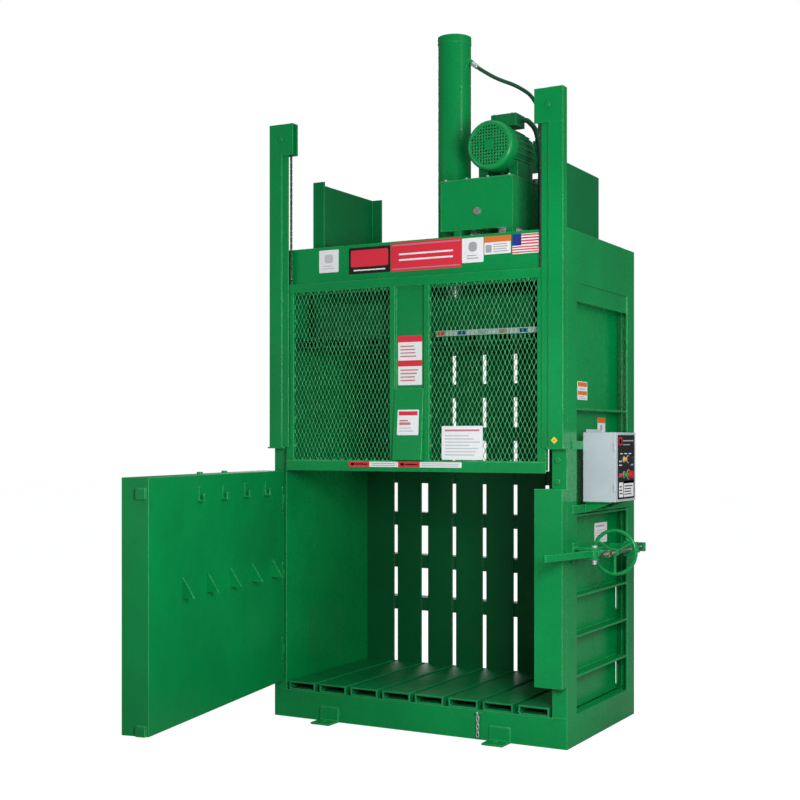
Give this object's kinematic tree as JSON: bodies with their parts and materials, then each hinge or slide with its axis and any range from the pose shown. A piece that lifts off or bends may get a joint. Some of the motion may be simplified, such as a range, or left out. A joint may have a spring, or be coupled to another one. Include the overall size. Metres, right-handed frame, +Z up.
{
  "type": "recycling baler",
  "caption": "Vertical recycling baler with a swing door, a chain-hung mesh gate, a hydraulic platen, a power unit on top, a control box and a wheel latch.",
  "frame": {"origin": "on the floor, at the centre of the four anchor holes", "axes": "+Z up, the longest extent; +Y from the front to the back; +X to the right as seen from the front"},
  "size_m": [2.0125, 2.5201, 3.632],
  "materials": {
    "amber_lens": "lamp lens",
    "black_plastic": "black knob",
    "bright_steel": "ground and chromed",
    "bronze": "worn bronze",
    "cast_iron": "cast iron",
    "chain_steel": "oiled steel chain",
    "dark_green": "gloss enamel, deeper green",
    "enclosure_grey": "light grey powder coat",
    "green": "gloss enamel, bright machine green",
    "green_plastic": "green push button",
    "hose_rubber": "hose rubber painted over dark green",
    "red_plastic": "red push button",
    "zinc": "zinc plated"
  },
  "bodies": {
    "frame": {"base_frame": "green", "box_rails": "green", "control_box": "enclosure_grey", "cylinder_barrel": "green", "cylinder_beams": "green", "cylinder_gland": "cast_iron", "fan_cover": "dark_green", "filler_cap": "bright_steel", "floor_channels": "green", "frame_bolts": "green", "gate_chains": "chain_steel", "gear_pump": "dark_green", "header_plate": "green", "hinge_pins": "zinc", "latch_bracket": "green", "latch_pin_bolt": "zinc", "left_mast": "green", "left_side_frame": "green", "motor_conduit": "hose_rubber", "motor_frame": "dark_green", "oil_tank": "green", "pressure_hose": "hose_rubber", "pump_bell": "dark_green", "rear_wall": "green", "return_hose": "hose_rubber", "right_mast": "green", "right_side_frame": "green", "screw_bearing_block": "green", "sight_plug": "bright_steel", "strike_box": "green", "tank_lid": "green", "terminal_box": "dark_green", "top_deck": "green", "valve_block": "dark_green", "weight_chains": "chain_steel", "wheel_axles": "zinc"},
    "gate": {"gate_frame": "green", "mesh_panels": "green", "gate_handle": "green"},
    "weights": {"counterweights": "cast_iron"},
    "left_wheel": {"left_chain_wheel": "cast_iron"},
    "right_wheel": {"right_chain_wheel": "cast_iron"},
    "door": {"chamber_door": "green", "bale_hooks": "green"},
    "ram": {"platen": "green", "platen_guides": "green", "piston_rod": "bright_steel", "piston": "cast_iron"},
    "screw": {"latch_screw": "bright_steel", "latch_hand_wheel": "green", "latch_star_wheel": "green"},
    "nut": {"latch_nut": "bronze"},
    "lever": {"latch_lever": "green"},
    "rotor": {"motor_rotor": "cast_iron"},
    "control_lid": {"control_door": "enclosure_grey", "power_lamp": "amber_lens"},
    "start_push": {"start_button": "green_plastic"},
    "stop_push": {"stop_button": "red_plastic"},
    "mode_turn": {"mode_switch": "black_plastic"},
    "hanging_chain": {"tie_chain": "zinc"}
  },
  "joints": [
    {"name": "gate_slide", "type": "slide", "parent": "frame", "child": "gate", "axis": [0, 0, 1], "range_m": [0, 0.64], "deforming": ["gate_chains"]},
    {"name": "weight_slide", "type": "slide", "parent": "frame", "child": "weights", "axis": [0, 0, 1], "range_m": [-0.64, 0], "deforming": ["weight_chains"]},
    {"name": "left_wheel_spin", "type": "hinge", "parent": "frame", "child": "left_wheel", "pos_m": [-0.763, -0.5075, 3.068], "axis": [0, 1, 0], "range_deg": [-781, 0]},
    {"name": "right_wheel_spin", "type": "hinge", "parent": "frame", "child": "right_wheel", "pos_m": [0.763, -0.5075, 3.068], "axis": [0, 1, 0], "range_deg": [0, 781]},
    {"name": "door_hinge", "type": "hinge", "parent": "frame", "child": "door", "pos_m": [-0.786, -0.5025, 0.756], "axis": [0, 0, 1], "range_deg": [-25, 79.67]},
    {"name": "platen_stroke", "type": "slide", "parent": "frame", "child": "ram", "axis": [0, 0, -1], "range_m": [0, 1.15]},
    {"name": "latch_wheel_turn", "type": "hinge", "parent": "frame", "child": "screw", "pos_m": [1, -0.2715, 0.932], "axis": [0, 1, 0], "range_deg": [0, 720]},
    {"name": "latch_nut_travel", "type": "slide", "parent": "frame", "child": "nut", "axis": [0, -1, 0], "range_m": [0, 0.0161]},
    {"name": "latch_lever_swing", "type": "hinge", "parent": "frame", "child": "lever", "pos_m": [0.94, -0.3875, 0.932], "axis": [0, 0, -1], "range_deg": [0, 14.8]},
    {"name": "rotor_spin", "type": "hinge", "parent": "frame", "child": "rotor", "pos_m": [0.358, 0, 2.96], "axis": [0, 1, 0], "continuous": true},
    {"name": "control_lid_hinge", "type": "hinge", "parent": "frame", "child": "control_lid", "pos_m": [1.0085, -0.2965, 1.343], "axis": [0, 0, -1], "range_deg": [0, 110]},
    {"name": "start_press", "type": "slide", "parent": "control_lid", "child": "start_push", "axis": [-1, 0, 0], "range_m": [0, 0.004], "stiffness_N_per_m": 300},
    {"name": "stop_press", "type": "slide", "parent": "control_lid", "child": "stop_push", "axis": [-1, 0, 0], "range_m": [0, 0.005], "stiffness_N_per_m": 300},
    {"name": "mode_select", "type": "hinge", "parent": "control_lid", "child": "mode_turn", "pos_m": [1.02, -0.1225, 1.38], "axis": [1, 0, 0], "range_deg": [-45, 45]},
    {"name": "tie_chain_swing", "type": "hinge", "parent": "frame", "child": "hanging_chain", "pos_m": [0.372, -0.493, 0.1315], "axis": [-1, 0, 0], "range_deg": [0, 60]}
  ],
  "couplings": [
    {"joint": "weight_slide", "follows": "gate_slide", "ratio": -1},
    {"joint": "left_wheel_spin", "follows": "gate_slide", "rad_per_m": -21.277},
    {"joint": "right_wheel_spin", "follows": "gate_slide", "rad_per_m": 21.277},
    {"joint": "latch_nut_travel", "follows": "latch_wheel_turn", "m_per_rad": 0.0012732},
    {"joint": "latch_lever_swing", "follows": "latch_wheel_turn", "ratio": 0.020498}
  ]
}
